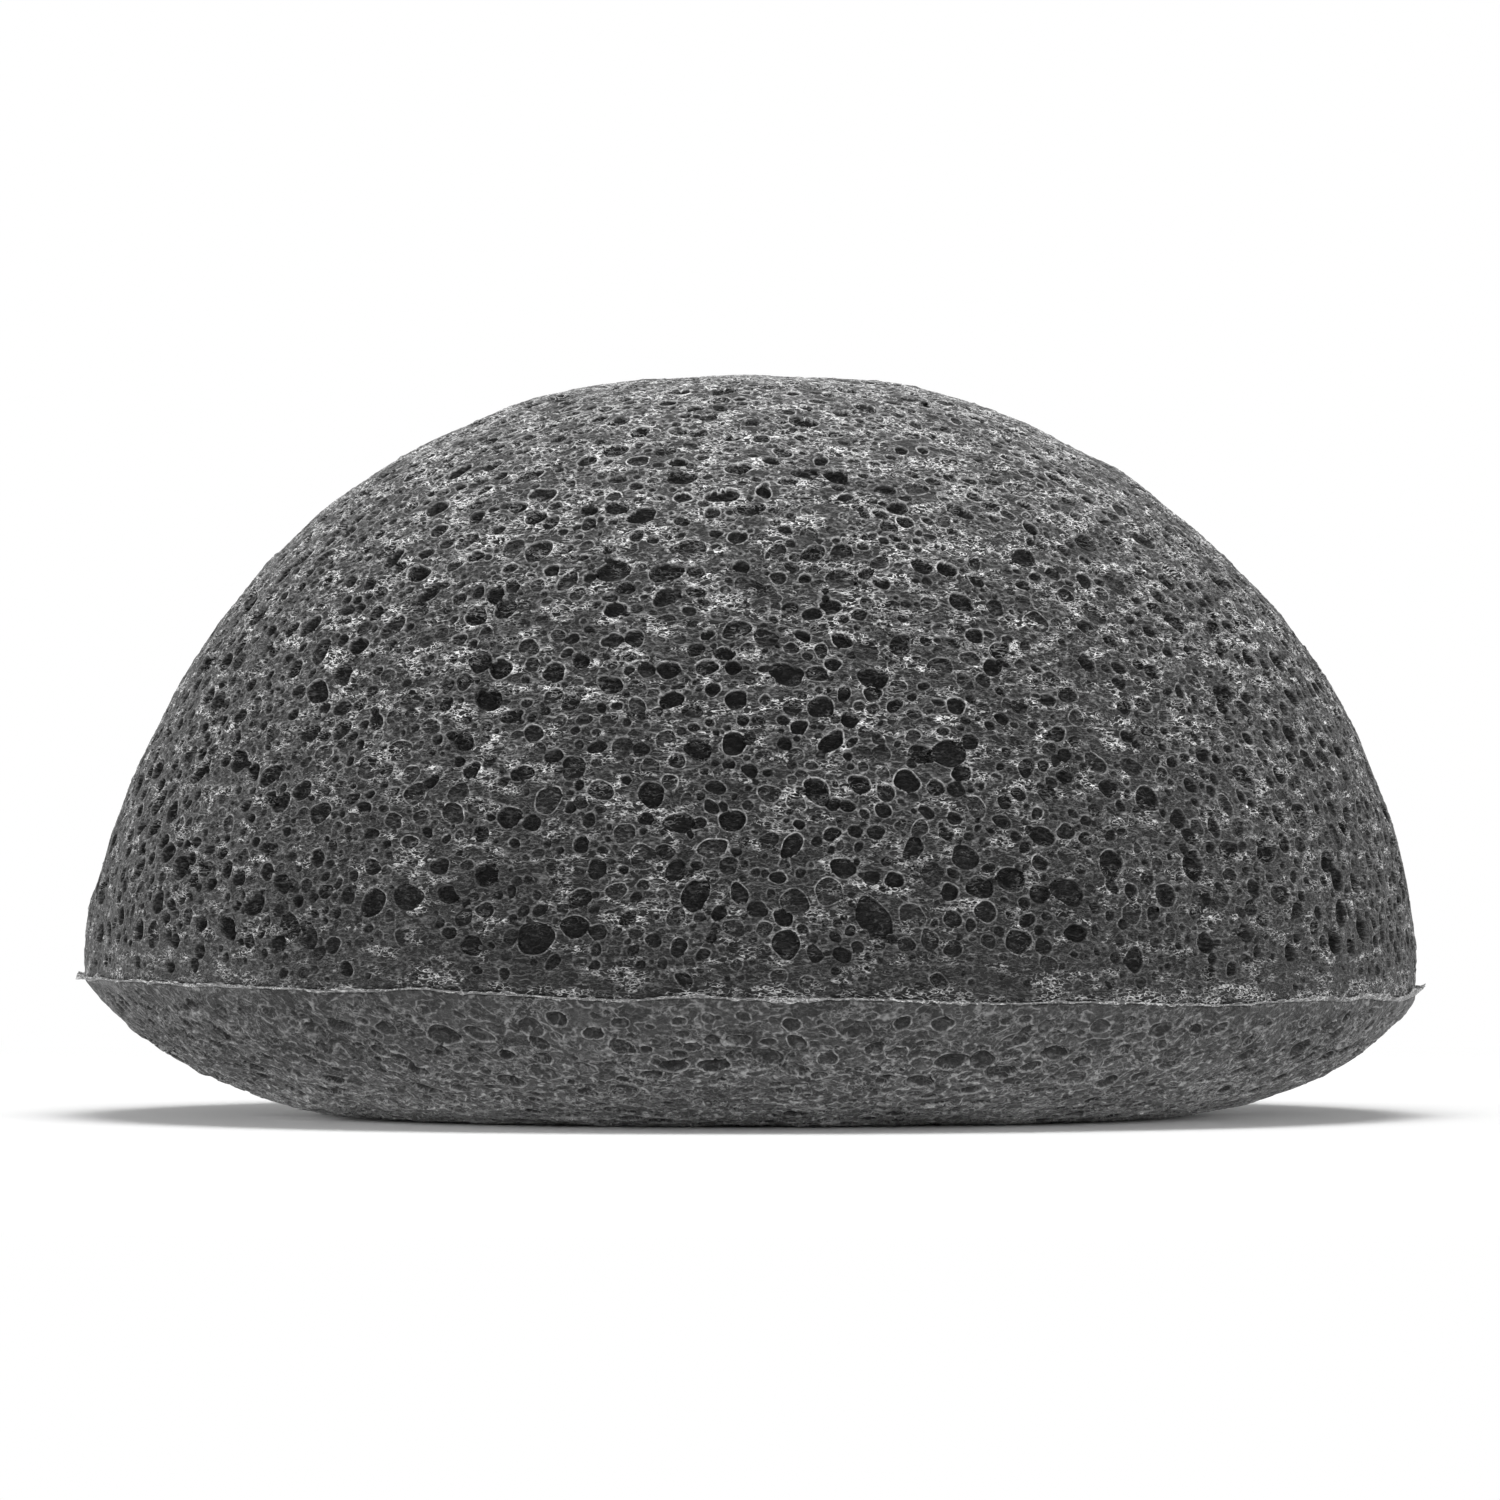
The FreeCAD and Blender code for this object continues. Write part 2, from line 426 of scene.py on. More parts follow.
def carve(points, pores, spacing, seed, depth_shares, undercut, lip_shares, lip_under_share, low_fades):
    """Sinks the pores into the points and raises their lips. Returns the points and three masks by name:
    painted pore shade, lip strength for the painted lip highlight, and distance from the pore's edge.
    """
    rng = np.random.default_rng(seed)
    tree = point_tree(points)
    hollows = Hollows(pores, rng)
    count = len(pores)
    shallow = (rng.random(count) < SHALLOW_SHARE) & ~np.array([deep for *_, deep in pores])
    shallow_depth_share = rng.uniform(*SHALLOW_DEPTH_SHARES, count)
    depth_share = np.where(shallow, shallow_depth_share, rng.uniform(*depth_shares, count))
    painted_shade = np.where(shallow, rng.uniform(*SHALLOW_PORE_SHADE, count), rng.uniform(*DEEP_PORE_SHADE, count))
    aside = 1 - hill(hollows.centre[:, 0], 0, SIDE_REACH)
    low = np.clip(1 - (hollows.centre[:, 2] - RIM_Z) / LOW_REACH, 0, 1)
    low_fade, lip_low_fade = low_fades
    painted_shade *= (1 - SIDE_FADE * aside) * (1 - low_fade * low)
    lip_share = rng.uniform(*lip_shares, count) * (1 - LIP_SIDE_FADE * aside) * (1 - lip_low_fade * low)
    lip_share *= np.clip(hollows.radius / FULL_LIP_RADIUS, LEAST_LIP_SHARE, 1)
    windows, parents = make_windows(hollows, rng)

    owner, share, second = hollows.nearest(points, tree)
    radius = hollows.radius[owner]
    normal = hollows.normal[owner]
    offset = points - hollows.centre[owner]
    flat = offset - normal * (offset * normal).sum(axis=1, keepdims=True)
    placed = np.where(np.abs(share - 1) < EDGE_SNAP_SHARE * spacing / radius, 1, share)
    inside = placed < 1
    bowl = np.sqrt(np.clip(1 - placed ** BOWL_POWER, 0, None))
    from_crest = (second - share) * radius
    crest = CREST_SHARE * hill(from_crest, 0, CREST_WIDTH) * (second < 1)
    widened = np.where(inside, 1 + undercut * arch(placed), 1)
    pull = np.where(share < FAR_SHARE, placed / np.maximum(share, TINY) * widened - 1, 0)
    # Lips rise higher and take more painted highlight on a pore's upper edge, as lit from above
    upper_share = (1 + unit(flat)[:, 2]) / 2
    lip_and_highlight = lip_share[owner] * (lip_under_share + (1 - lip_under_share) * upper_share)
    edge = np.where(second < 1, np.maximum((placed - 1) * radius, -from_crest), (placed - 1) * radius)
    raised = lip_and_highlight * hill((placed - 1) * radius, 0, LIP_WIDTH) * ~inside
    sink = bowl * depth_share[owner] * radius * (1 - crest)
    # Painted shade on the floor and walls of each pore
    shade = painted_shade[owner] * WALL_SHADE_SHARE

    window, window_share, _ = windows.nearest(points, tree)
    through = inside & (parents[window] == owner) & (window_share < 1)
    window_bowl = np.sqrt(np.clip(1 - window_share ** 2, 0, None))
    sink = np.where(through, sink + window_bowl * windows.radius[window] * WINDOW_DEPTH_SHARE, sink)
    # Windows through to the cells behind take the full painted shade of their pore
    shade = np.where(through, painted_shade[owner], shade)

    moved = points + flat * pull[:, None] + normal * (raised * LIP_HEIGHT - sink)[:, None]
    masks = {"pore_shade": shade, "lip_and_highlight": lip_and_highlight, "edge": np.clip(edge, -EDGE_REACH, EDGE_REACH) / MM}
    return moved, masks


def dense_half_ball(name, upwards, cuts, levels):
    """Half a unit ball in small even quads, cut on the plane z = 0, as an object."""
    shape = bmesh.new()
    bmesh.ops.create_icosphere(shape, subdivisions=BALL_SUBDIVISIONS, radius=1)
    bmesh.ops.bisect_plane(
        shape,
        geom=shape.verts[:] + shape.edges[:] + shape.faces[:],
        dist=PLANE_SNAP,
        plane_co=(0, 0, 0),
        plane_no=(0, 0, 1 if upwards else -1),
        clear_inner=True,
    )
    bmesh.ops.subdivide_edges(shape, edges=shape.edges[:], cuts=cuts, use_grid_fill=True)
    mesh = bpy.data.meshes.new(name)
    shape.to_mesh(mesh)
    shape.free()
    piece = linked(name, mesh)
    finer = piece.modifiers.new("finer", "SUBSURF")
    finer.subdivision_type = "SIMPLE"
    finer.levels = finer.render_levels = levels
    graph = bpy.context.evaluated_depsgraph_get()
    piece.data = bpy.data.meshes.new_from_object(piece.evaluated_get(graph))
    piece.modifiers.clear()
    bpy.data.meshes.remove(mesh)
    return piece


def read_points(mesh):
    flat = np.empty(len(mesh.vertices) * 3)
    mesh.vertices.foreach_get("co", flat)
    return flat.reshape(-1, 3)


def write_points(mesh, points):
    mesh.vertices.foreach_set("co", points.ravel().astype(np.float32))
    mesh.update()


def write_masks(mesh, masks):
    for name, values in masks.items():
        mask = mesh.attributes.new(name, "FLOAT", "POINT")
        mask.data.foreach_set("value", values.astype(np.float32))


def half_ball_directions(mesh):
    """Unit directions of the vertices, with those on the cut exactly level."""
    directions = unit(read_points(mesh))
    directions[np.abs(directions[:, 2]) < PLANE_SNAP, 2] = 0
    return directions


def point_spacing(mesh, points):
    """Mean distance of neighbours if the vertices stood at these points."""
    corners = np.empty(len(mesh.loops), np.int32)
    mesh.loops.foreach_get("vertex_index", corners)
    quads = points[corners.reshape(-1, 4)]
    doubled = np.linalg.norm(np.cross(quads[:, 2] - quads[:, 0], quads[:, 3] - quads[:, 1]), axis=1)
    return math.sqrt(doubled.sum() / 2 / len(points))


# Fine unevenness of the foam between its pores
DOME_FROTH = [(0.9 * MM, 0.06 * MM), (0.42 * MM, 0.05 * MM), (0.22 * MM, 0.04 * MM)]
PAD_FROTH = [(2.4 * MM, 0.2 * MM), (0.9 * MM, 0.08 * MM), (0.4 * MM, 0.06 * MM)]
FROTH_FADE = 1.2 * MM


def frothed(points, normals, edge, froth, seed):
    """Bumps between the pores, as (cell, height) from coarse to fine, that fade out at the rim."""
    strength = (edge > 0) * np.clip(np.abs(points[:, 2] - RIM_Z) / FROTH_FADE, 0, 1)
    for step, (cell, height) in enumerate(froth):
        bumps = Lattice(cell, seed + step).at(points) * height
        points = points + normals * (bumps * strength)[:, None]
    return points


# A flat map of each foam piece: its outer form seen along the axis, and its inner wall as a ring round that
MAP_NAME = "OFBake"
FLAT_PLACE = "flat_place"
OUTER_MAP_SHARE = 0.42
INNER_MAP_SHARE = 0.49
MAP_CENTRE = 0.5


def mark_flat_places(mesh, directions):
    turn_share = np.arccos(np.clip(np.abs(directions[:, 2]), 0, 1)) / QUARTER_TURN
    flat = np.zeros((len(directions), 3), np.float32)
    flat[:, :2] = unit(directions[:, :2]) * (OUTER_MAP_SHARE * turn_share)[:, None]
    mesh.attributes.new(FLAT_PLACE, "FLOAT_VECTOR", "POINT").data.foreach_set("vector", flat.ravel())


def close_inside(piece, rings, top_z):
    """Closes the open rim with rings of wall at (radius, z), ending in a point on the axis."""
    shape = bmesh.new()
    shape.from_mesh(piece.data)
    place = shape.verts.layers.float_vector[FLAT_PLACE]
    edges = [edge for edge in shape.edges if edge.is_boundary]
    for step, (radius, z) in enumerate(rings, 1):
        grown = bmesh.ops.extrude_edge_only(shape, edges=edges)["geom"]
        edges = [item for item in grown if isinstance(item, bmesh.types.BMEdge) and item.is_boundary]
        map_radius = OUTER_MAP_SHARE + (INNER_MAP_SHARE - OUTER_MAP_SHARE) * step / len(rings)
        for vert in (item for item in grown if isinstance(item, bmesh.types.BMVert)):
            heading = vert.co.xy.normalized()
            vert.co = (*(heading * radius), z)
            vert[place] = (*(heading * map_radius), 0)
    last = {vert for edge in edges for vert in edge.verts}
    bmesh.ops.pointmerge(shape, verts=list(last), merge_co=(0, 0, top_z))
    bmesh.ops.recalc_face_normals(shape, faces=shape.faces[:])
    shape.to_mesh(piece.data)
    shape.free()


def lay_map(mesh):
    places = np.empty(len(mesh.vertices) * 3, np.float32)
    mesh.attributes[FLAT_PLACE].data.foreach_get("vector", places)
    corners = np.empty(len(mesh.loops), np.int32)
    mesh.loops.foreach_get("vertex_index", corners)
    layer = mesh.uv_layers.new(name=MAP_NAME)
    layer.uv.foreach_set("vector", (places.reshape(-1, 3)[corners, :2] + MAP_CENTRE).ravel())
    mesh.attributes.remove(mesh.attributes[FLAT_PLACE])


def shade_smooth(mesh):
    mesh.polygons.foreach_set("use_smooth", np.ones(len(mesh.polygons), bool))
    mesh.update()


# The dome and the underside close in on the thin film between them towards the rim
RIM_EDGE_HALF = 0.05 * MM
RIM_CLOSING = 1.2 * MM


def foam_piece(name, form, upwards, cuts, pores, rings, top_z, seed, pore_shape, froth):
    """One pored piece of foam: the dense outer form, carved, and closed inside by a plain wall."""
    piece = dense_half_ball(name, upwards, cuts, GRAIN_LEVELS)
    mesh = piece.data
    directions = half_ball_directions(mesh)
    points, normals = form(directions)
    carved, masks = carve(points, pores, point_spacing(mesh, points), seed, *pore_shape)
    on_rim = directions[:, 2] == 0
    carved = frothed(carved, normals, masks["edge"], froth, seed)
    carved[on_rim] = points[on_rim]
    carved[on_rim, 2] = RIM_Z + (RIM_EDGE_HALF if upwards else -RIM_EDGE_HALF)
    write_points(mesh, carved)
    write_masks(mesh, masks)
    mark_flat_places(mesh, directions)
    close_inside(piece, rings, top_z)
    finished = moulded(read_points(mesh))
    finished[:, 2] = np.maximum(finished[:, 2], 0)
    write_points(mesh, finished)
    lay_map(mesh)
    shade_smooth(mesh)
    return piece


# Areas for the number of pores
DOME_AREA = half_ball_area(RIM_RADIUS, DOME_HEIGHT)
CORE_AREA = half_ball_area(CORE_RADIUS, CORE_RISE)
PAD_AREA = math.pi * UNDERSIDE_LENGTH ** 2
WALL_STEPS = 8
AXIS_RADIUS = 1.5 * MM
PAD_RING_SHARES = (0.6, 0.3, 0.04)


def make_dome():
    scatter = (DOME_PORES, DOME_AREA, DOME_BARE_BAND, DOME_PORE_SEED)
    pores = scatter_pores(dome_form, True, *scatter, front_pores())
    rings = [(RIM_RADIUS - RIM_CLOSING, SEAT_Z), (WALL_RADIUS, SEAT_Z)]
    for step in range(1, WALL_STEPS + 1):
        turn = QUARTER_TURN * step / WALL_STEPS
        radius = max(WALL_RADIUS * math.cos(turn), AXIS_RADIUS)
        rings.append((radius, SEAT_Z + WALL_HEIGHT * math.sin(turn)))
    top_z = SEAT_Z + WALL_HEIGHT
    shape = (DOME_CARVE_SEED, DOME_PORE_SHAPE, DOME_FROTH)
    return foam_piece("dome_foam", dome_form, True, DOME_CUTS, pores, rings, top_z, *shape)


def make_pad():
    pores = scatter_pores(pad_form, False, PAD_PORES, PAD_AREA, PAD_BARE_BAND, PAD_PORE_SEED)
    rings = [(RIM_RADIUS - RIM_CLOSING, PAD_DEPTH)]
    rings += [(RIM_RADIUS * share, PAD_DEPTH) for share in PAD_RING_SHARES]
    shape = (PAD_CARVE_SEED, PAD_PORE_SHAPE, PAD_FROTH)
    return foam_piece("base_foam", pad_form, False, PAD_CUTS, pores, rings, PAD_DEPTH, *shape)


# Flash: a thin film that stands out of the rim, ragged, and curled up more at the left and right
FLASH_STEPS = 1500
FLASH_REACH = FLASH_HIGH.x - RIM_RADIUS
FLASH_WAVES = [(9 * MM, 0.25), (2.4 * MM, 0.3), (0.8 * MM, 0.35), (0.35 * MM, 0.3)]
FLASH_MEAN_SHARE, FLASH_LIMIT_SHARES = 0.55, (0.1, 1.1)
FLASH_RIGHT_LIFT, FLASH_LEFT_LIFT, FLASH_SIDE_POWER = 0.5 * MM, 0.12 * MM, 6
FLASH_CURLS = [(3.0 * MM, 0.2 * MM), (1.1 * MM, 0.2 * MM), (0.45 * MM, 0.14 * MM)]
FLASH_SWELL_CELL, FLASH_SWELL_SHARE = 1.1 * MM, 0.8
FLASH_SEEDS = itertools.count(61)


def make_flash():
    half = RIM_EDGE_HALF
    tip_radius = RIM_RADIUS + FLASH_REACH
    middle_radius = RIM_RADIUS + FLASH_REACH / 2
    section = [
        (WALL_RADIUS, PAD_DEPTH),
        (RIM_RADIUS - RIM_CLOSING, PAD_DEPTH),
        (RIM_RADIUS, RIM_Z - half),
        (middle_radius, RIM_Z - half),
        (tip_radius, RIM_Z - half / 2),
        (tip_radius, RIM_Z + half / 2),
        (middle_radius, RIM_Z + half),
        (RIM_RADIUS, RIM_Z + half),
        (RIM_RADIUS - RIM_CLOSING, SEAT_Z),
        (WALL_RADIUS, SEAT_Z),
    ]
    shape = bmesh.new()
    verts = [shape.verts.new((radius, 0, z)) for radius, z in section]
    edges = [shape.edges.new(pair) for pair in zip(verts, verts[1:] + verts[:1])]
    bmesh.ops.spin(
        shape,
        geom=verts + edges,
        cent=(0, 0, 0),
        axis=(0, 0, 1),
        angle=FULL_TURN,
        steps=FLASH_STEPS,
        use_merge=True,
    )
    bmesh.ops.recalc_face_normals(shape, faces=shape.faces[:])
    mesh = bpy.data.meshes.new("flash_film")
    shape.to_mesh(mesh)
    shape.free()
    points = read_points(mesh)
    heading = unit(points[:, :2])
    rim = np.column_stack([heading * RIM_RADIUS, np.full(len(points), RIM_Z)])
    ragged = sum(Lattice(cell, next(FLASH_SEEDS)).at(rim) * share for cell, share in FLASH_WAVES)
    reach = np.hypot(points[:, 0], points[:, 1]) - RIM_RADIUS
    out_share = np.clip(reach / FLASH_REACH, 0, 1)
    reach_share = np.clip(FLASH_MEAN_SHARE + ragged, *FLASH_LIMIT_SHARES)
    new_radius = RIM_RADIUS + np.where(reach > 0, reach * reach_share, reach)
    side_lift = np.where(heading[:, 0] > 0, FLASH_RIGHT_LIFT, FLASH_LEFT_LIFT)
    lift = side_lift * heading[:, 0] ** FLASH_SIDE_POWER
    lift += sum(Lattice(cell, next(FLASH_SEEDS)).at(rim) * height for cell, height in FLASH_CURLS)
    swell = 1 + out_share * FLASH_SWELL_SHARE * Lattice(FLASH_SWELL_CELL, next(FLASH_SEEDS)).at(rim)
    points[:, :2] = heading * new_radius[:, None]
    points[:, 2] = RIM_Z + (points[:, 2] - RIM_Z) * swell + out_share * lift
    write_points(mesh, moulded(points))
    none = np.zeros(len(points))
    write_masks(mesh, {"pore_shade": none, "lip_and_highlight": none, "edge": none + EDGE_REACH / MM})
    shade_smooth(mesh)
    return linked("flash_film", mesh)


def make_core():
    piece = dense_half_ball("core_foam", True, CORE_CUTS, CORE_LEVELS)
    mesh = piece.data
    points, _ = core_form(half_ball_directions(mesh))
    pores = scatter_pores(core_form, True, CORE_PORES, CORE_AREA, DOME_BARE_BAND, CORE_PORE_SEED)
    carved, masks = carve(points, pores, point_spacing(mesh, points), CORE_CARVE_SEED, *DOME_PORE_SHAPE)
    write_points(mesh, carved)
    write_masks(mesh, masks)
    shape = bmesh.new()
    shape.from_mesh(mesh)
    edges = [edge for edge in shape.edges if edge.is_boundary]
    grown = bmesh.ops.extrude_edge_only(shape, edges=edges)["geom"]
    for vert in (item for item in grown if isinstance(item, bmesh.types.BMVert)):
        vert.co.z = PAD_DEPTH
    bmesh.ops.contextual_create(shape, geom=[edge for edge in shape.edges if edge.is_boundary])
    bmesh.ops.recalc_face_normals(shape, faces=shape.faces[:])
    shape.to_mesh(mesh)
    shape.free()
    write_points(mesh, moulded(read_points(mesh)))
    shade_smooth(mesh)
    return piece


# Materials: places of the colours on a mixing node, the middle of a noise, and how fine its lines are
MIX_FIRST, MIX_SECOND, MIX_RESULT = 6, 7, 2
NOISE_MIDDLE = 0.5
RIDGE_DETAIL, RIDGE_ROUGHNESS = 1.5, 0.6
WHITE = (1, 1, 1)


class Nodes:
    """A small hand for wiring a node tree."""

    def __init__(self, tree):
        self.tree = tree
        tree.nodes.clear()

    def add(self, kind, settings=None, **values):
        node = self.tree.nodes.new(kind)
        for name, value in (settings or {}).items():
            setattr(node, name, value)
        for name, value in values.items():
            self.feed(node.inputs[name.replace("_", " ")], value)
        return node

    def feed(self, socket, value):
        if isinstance(value, bpy.types.NodeSocket):
            self.tree.links.new(value, socket)
        else:
            socket.default_value = value

    def blend(self, share, first, second):
        node = self.add("ShaderNodeMix", {"data_type": "RGBA"})
        self.feed(node.inputs["Factor"], share)
        self.feed(node.inputs[MIX_FIRST], first)
        self.feed(node.inputs[MIX_SECOND], second)
        return node.outputs[MIX_RESULT]

    def maths(self, operation, first, second=0.0, clamp=False):
        node = self.add("ShaderNodeMath", {"operation": operation, "use_clamp": clamp})
        self.feed(node.inputs[0], first)
        self.feed(node.inputs[1], second)
        return node.outputs[0]

    def times(self, first, second):
        return self.maths("MULTIPLY", first, second)

    def plus(self, first, second):
        return self.maths("ADD", first, second)

    def spread(self, value, low, high, new_low=0.0, new_high=1.0):
        node = self.add("ShaderNodeMapRange")
        self.feed(node.inputs["Value"], value)
        self.feed(node.inputs["From Min"], low)
        self.feed(node.inputs["From Max"], high)
        self.feed(node.inputs["To Min"], new_low)
        self.feed(node.inputs["To Max"], new_high)
        return node.outputs["Result"]

    def noise(self, place, scale, detail, roughness):
        node = self.add("ShaderNodeTexNoise", Vector=place, Scale=scale, Detail=detail, Roughness=roughness)
        return node.outputs["Fac"]

    def ridges(self, place, scale, half_width):
        """Thin winding lines where the noise passes its middle."""
        noise = self.noise(place, scale, RIDGE_DETAIL, RIDGE_ROUGHNESS)
        away = self.maths("ABSOLUTE", self.plus(noise, -NOISE_MIDDLE))
        return self.spread(away, 0.0, half_width, 1.0, 0.0)

    def mask(self, name):
        return self.add("ShaderNodeAttribute", {"attribute_name": name}).outputs["Fac"]

    def ramp(self, share, stops):
        """A value that passes through the stops (share, value) in order."""
        result = stops[0][1]
        for (start, low), (end, high) in zip(stops, stops[1:]):
            result = self.plus(result, self.spread(share, start, end, 0.0, high - low))
        return result

    def tinted(self, colour, factor):
        node = self.add("ShaderNodeVectorMath", {"operation": "SCALE"})
        self.feed(node.inputs[0], colour)
        self.feed(node.inputs["Scale"], factor)
        return node.outputs["Vector"]

    def scaled(self, vector, factors):
        node = self.add("ShaderNodeVectorMath", {"operation": "MULTIPLY"})
        self.feed(node.inputs[0], vector)
        self.feed(node.inputs[1], factors)
        return node.outputs["Vector"]

    def end(self, kind, shader):
        self.feed(self.add(kind).inputs["Surface"], shader)


def new_material(name):
    """A new material and the hand that wires it."""
    material = bpy.data.materials.new(name)
    material.use_nodes = True
    return material, Nodes(material.node_tree)


def grey(level):
    return (level, level, level, 1)


# Fine froth between the pores: wavelengths as bumps for each millimetre, and ranges of noise
PER_MM = (1 / MM, 1 / MM, 1 / MM)
CREASES_PER_MM, CREASE_HALF_WIDTH = 2.5, 0.048
FOLDS_PER_MM, FOLD_HALF_WIDTH = 0.9, 0.04
BUBBLES_PER_MM, BUBBLE_RADIUS, BUBBLE_HALF_WALL = 1.9, 0.34, 0.06
GRAIN_PER_MM, GRAIN_RANGE = 3.2, (0.38, 0.6)
GRAIN_DETAIL, GRAIN_ROUGHNESS = 2.0, 0.65
PATCHES_PER_MM, PATCH_RANGE = 0.62, (0.42, 0.68)
CLOUDS_PER_MM, CLOUD_RANGE = 0.9, (0.35, 0.65)
PATCH_DETAIL, PATCH_ROUGHNESS = 3.0, 0.6
THREAD_LEAST_SHARE = 0.35
FROTH_OUTPUTS = ("Creases", "Folds", "Bubbles", "Grain", "Patches", "Clouds")


def make_froth_group():
    """Froth masks: creases, long folds and bubble walls for painted glints, fine grain, patches and soft
    clouds.
    """
    group = bpy.data.node_groups.new("fine_froth", "ShaderNodeTree")
    group.interface.new_socket("Streak", in_out="INPUT", socket_type="NodeSocketVector")
    for name in FROTH_OUTPUTS:
        group.interface.new_socket(name, in_out="OUTPUT", socket_type="NodeSocketFloat")
    nodes = Nodes(group)
    place = nodes.scaled(nodes.add("ShaderNodeTexCoord").outputs["Object"], PER_MM)
    streaky = nodes.scaled(place, nodes.add("NodeGroupInput").outputs["Streak"])
    grain = nodes.spread(nodes.noise(streaky, GRAIN_PER_MM, GRAIN_DETAIL, GRAIN_ROUGHNESS), *GRAIN_RANGE)
    creases = nodes.ridges(streaky, CREASES_PER_MM, CREASE_HALF_WIDTH)
    folds = nodes.ridges(streaky, FOLDS_PER_MM, FOLD_HALF_WIDTH)
    cells = nodes.add("ShaderNodeTexVoronoi", Vector=streaky, Scale=BUBBLES_PER_MM)
    from_wall = nodes.maths("ABSOLUTE", nodes.plus(cells.outputs["Distance"], -BUBBLE_RADIUS))
    bubbles = nodes.spread(from_wall, 0.0, BUBBLE_HALF_WALL, 1.0, 0.0)
    patches = nodes.noise(streaky, PATCHES_PER_MM, PATCH_DETAIL, PATCH_ROUGHNESS)
    clouds = nodes.spread(nodes.noise(streaky, CLOUDS_PER_MM, PATCH_DETAIL, PATCH_ROUGHNESS), *CLOUD_RANGE)
    leave = nodes.add("NodeGroupOutput")
    worn = nodes.spread(grain, 0.0, 1.0, THREAD_LEAST_SHARE, 1.0)
    nodes.feed(leave.inputs["Creases"], nodes.times(creases, worn))
    nodes.feed(leave.inputs["Folds"], nodes.times(folds, grain))
    nodes.feed(leave.inputs["Bubbles"], nodes.times(bubbles, worn))
    nodes.feed(leave.inputs["Grain"], grain)
    nodes.feed(leave.inputs["Patches"], patches)
    nodes.feed(leave.inputs["Clouds"], clouds)
    return group


FROTH = make_froth_group()
WET_IOR = 1.2
BUMP_DEPTH = 0.1 * MM
PATCH_GLOSS_SHARE = 0.7

# Widths across the edge of a pore for its painted shade and the painted highlight on its lip, in
# millimetres from that edge, less than zero inside
SHADE_FROM, SHADE_TO = 0.0, -0.07
LIP_AT, LIP_HALF = 0.03, 0.078
LIP_BROKEN_SHARE = 0.35
GRAIN_SHADE_SHARE = 0.45
# How hard the painted glints on the froth saturate
GLINT_SHARPNESS = 2.0


def foam_material(name, greys, shares, heights, painted_light_stops, glints, covers, streak, bump, roughness):
    """Foam: dark and pale body greys with painted glints on creases and bubbles, painted shade in the pores
    and painted highlights on thin lips.

    shares: least and most of the painted froth glints by patch, and that of the long folds.
    The three height ramps, each as (share of the height, value) from the bottom up: painted light on the
    ground, the grey of the painted glints on the froth, and more of that froth.
    """
    material, nodes = new_material(name)
    froth = nodes.add("ShaderNodeGroup", {"node_tree": FROTH}, Streak=streak).outputs
    edge, dark, lip_and_highlight = (nodes.mask(key) for key in ("edge", "pore_shade", "lip_and_highlight"))
    place = nodes.add("ShaderNodeSeparateXYZ")
    nodes.feed(place.inputs[0], nodes.add("ShaderNodeTexCoord").outputs["Object"])
    rise = nodes.spread(place.outputs["Z"], *heights)
    # Painted light by height: the ground and the lip highlights are lit up or shaded by height, as the
    # lamps fall
    painted_light = nodes.ramp(rise, painted_light_stops)
    patches = nodes.spread(nodes.plus(froth["Patches"], nodes.ramp(rise, covers)), *PATCH_RANGE)
    ground = nodes.blend(froth["Clouds"], grey(greys["dark"]), grey(greys["pale"]))
    grain_shade = nodes.spread(froth["Grain"], 0.0, 1.0, GRAIN_SHADE_SHARE, 0.0)
    ground = nodes.blend(grain_shade, ground, grey(greys["pore_shade"]))
    least, most, fold_share = shares
    # Painted glints: bright creases, bubble walls and long folds, more of them in patches, their grey set
    # by height
    froth_glints = nodes.maths("MAXIMUM", froth["Creases"], froth["Bubbles"])
    froth_glints = nodes.times(froth_glints, nodes.spread(patches, 0.0, 1.0, least, most))
    painted_glints = nodes.maths("MAXIMUM", froth_glints, nodes.times(froth["Folds"], fold_share))
    painted_glints = nodes.maths("MULTIPLY", painted_glints, GLINT_SHARPNESS, clamp=True)
    glint = nodes.tinted(WHITE, nodes.ramp(rise, glints))
    ground = nodes.blend(painted_glints, nodes.tinted(ground, painted_light), glint)
    # Painted shade inside the pores: the dark mask draws the colour to the pore-shade grey inside each edge
    inside = nodes.spread(edge, SHADE_FROM, SHADE_TO)
    ground = nodes.blend(nodes.times(inside, dark), ground, grey(greys["pore_shade"]))
    # Painted highlight on the lips: a thin, broken pale ring just outside each pore's edge, scaled by the
    # painted light
    thin = nodes.spread(nodes.maths("ABSOLUTE", nodes.plus(edge, -LIP_AT)), 0.0, LIP_HALF, 1.0, 0.0)
    broken = nodes.times(thin, nodes.spread(froth["Grain"], 0.0, 1.0, LIP_BROKEN_SHARE, 1.0))
    colour = nodes.blend(nodes.times(nodes.times(broken, lip_and_highlight), painted_light), ground, grey(greys["lip_and_highlight"]))
    rough = nodes.spread(patches, 0.0, 1.0, roughness, roughness * PATCH_GLOSS_SHARE)
    bumps = nodes.add("ShaderNodeBump", Strength=bump, Distance=BUMP_DEPTH, Height=froth["Grain"])
    surface = nodes.add("ShaderNodeBsdfPrincipled", Base_Color=colour, Roughness=rough, IOR=WET_IOR)
    nodes.feed(surface.inputs["Normal"], bumps.outputs["Normal"])
    nodes.end("ShaderNodeOutputMaterial", surface.outputs["BSDF"])
    return material


def dress(piece, material, body, node):
    piece.data.materials.clear()
    piece.data.materials.append(material)
    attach(piece, body)
    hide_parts(node)


dome = make_dome()
pad = make_pad()
flash = make_flash()
core = make_core()

